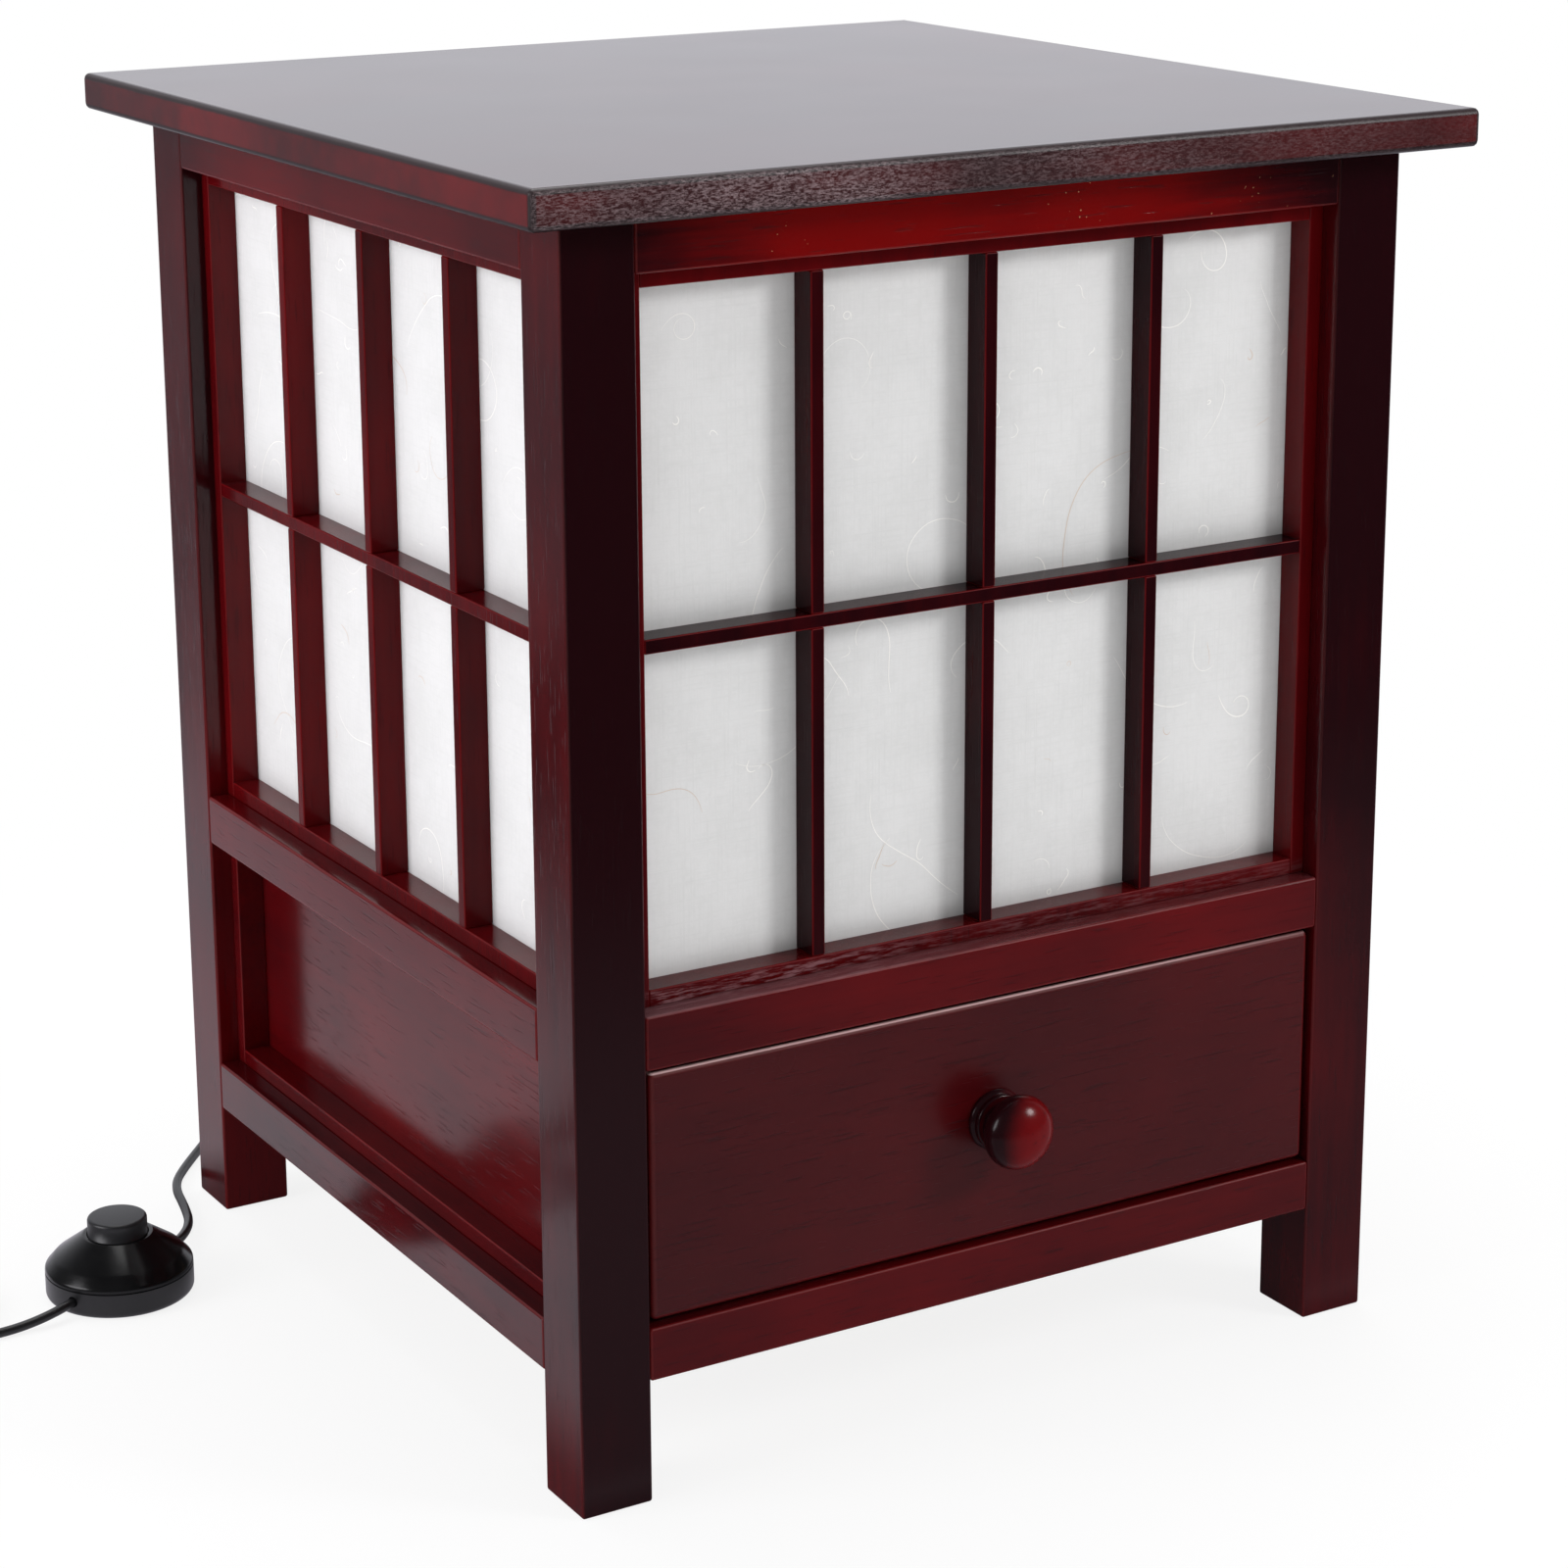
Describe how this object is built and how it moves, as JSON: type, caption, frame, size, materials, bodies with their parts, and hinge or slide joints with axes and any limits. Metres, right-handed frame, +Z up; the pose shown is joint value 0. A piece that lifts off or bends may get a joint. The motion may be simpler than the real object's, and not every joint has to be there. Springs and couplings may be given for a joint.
{
  "type": "shoji lamp table",
  "caption": "Square wooden lamp table with paper-backed lattice windows around a lamp, a drawer with a turned knob below, and a round foot switch on its cord.",
  "frame": {"origin": "on the floor under the middle of the cabinet", "axes": "+Z up, +X to the right along the drawer front, -Y out of the drawer front"},
  "size_m": [0.607, 0.4478, 0.5],
  "materials": {
    "red_lacquer": "dark red-brown gloss lacquer",
    "plain_wood": "stained plain wood, low sheen",
    "rice_paper": "laminated rice paper with fine fibres, translucent",
    "lampholder_plastic": "black phenolic",
    "zinc_screw": "zinc plated",
    "bulb_glass": "frosted glass",
    "bulb_cap": "bare, threaded",
    "cord": "black flexible cord, satin",
    "switch_plastic": "black, glossy",
    "button_plastic": "black, satin",
    "module_plastic": "pale thermoplastic",
    "plug_plastic": "black, satin",
    "plug_metal": "brass"
  },
  "bodies": {
    "cabinet": {"leg_front_left": "red_lacquer", "leg_front_right": "red_lacquer", "leg_rear_left": "red_lacquer", "leg_rear_right": "red_lacquer", "top_rail_front": "red_lacquer", "top_rail_back": "red_lacquer", "top_rail_left": "red_lacquer", "top_rail_right": "red_lacquer", "mid_rail_front": "red_lacquer", "mid_rail_back": "red_lacquer", "mid_rail_left": "red_lacquer", "mid_rail_right": "red_lacquer", "bottom_rail_front": "red_lacquer", "bottom_rail_back": "red_lacquer", "bottom_rail_left": "red_lacquer", "bottom_rail_right": "red_lacquer", "shoji_frame_front": "red_lacquer", "shoji_frame_back": "red_lacquer", "shoji_frame_left": "red_lacquer", "shoji_frame_right": "red_lacquer", "lattice_bars_front": "red_lacquer", "lattice_bars_back": "red_lacquer", "lattice_bars_left": "red_lacquer", "lattice_bars_right": "red_lacquer", "paper_front": "rice_paper", "paper_back": "rice_paper", "paper_left": "rice_paper", "paper_right": "rice_paper", "side_panel_left": "red_lacquer", "side_panel_right": "red_lacquer", "rear_panel": "plain_wood", "side_panel_frame_left": "red_lacquer", "side_panel_frame_right": "red_lacquer", "lamp_floor": "plain_wood", "drawer_runners": "plain_wood", "lampholder": "lampholder_plastic", "lampholder_screws": "zinc_screw", "bulb_glass": "bulb_glass", "bulb_cap": "bulb_cap", "inner_lead": "cord", "cord_strain_relief": "cord", "switch_base": "switch_plastic", "switch_cover": "switch_plastic", "switch_module": "module_plastic", "switch_screws": "zinc_screw", "cord_to_switch": "cord", "cord_to_plug": "cord", "cord_coil": "cord", "plug_body": "plug_plastic", "plug_blades": "plug_metal"},
    "drawer": {"drawer_front": "red_lacquer", "drawer_side_left": "plain_wood", "drawer_side_right": "plain_wood", "drawer_back": "plain_wood", "drawer_bottom": "plain_wood", "drawer_knob": "red_lacquer", "knob_screw": "zinc_screw"},
    "lid": {"tabletop": "red_lacquer", "tabletop_battens": "plain_wood"},
    "button": {"switch_button": "button_plastic"}
  },
  "joints": [
    {"name": "drawer_slide", "type": "slide", "parent": "cabinet", "child": "drawer", "axis": [0, -1, 0], "range_m": [0, 0.22]},
    {"name": "tabletop_lift", "type": "slide", "parent": "cabinet", "child": "lid", "axis": [0, 0, 1], "range_m": [0, 0.08]},
    {"name": "switch_press", "type": "slide", "parent": "cabinet", "child": "button", "axis": [0, 0, -1], "range_m": [0, 0.003], "stiffness_N_per_m": 900, "springref_m": -0.002}
  ]
}
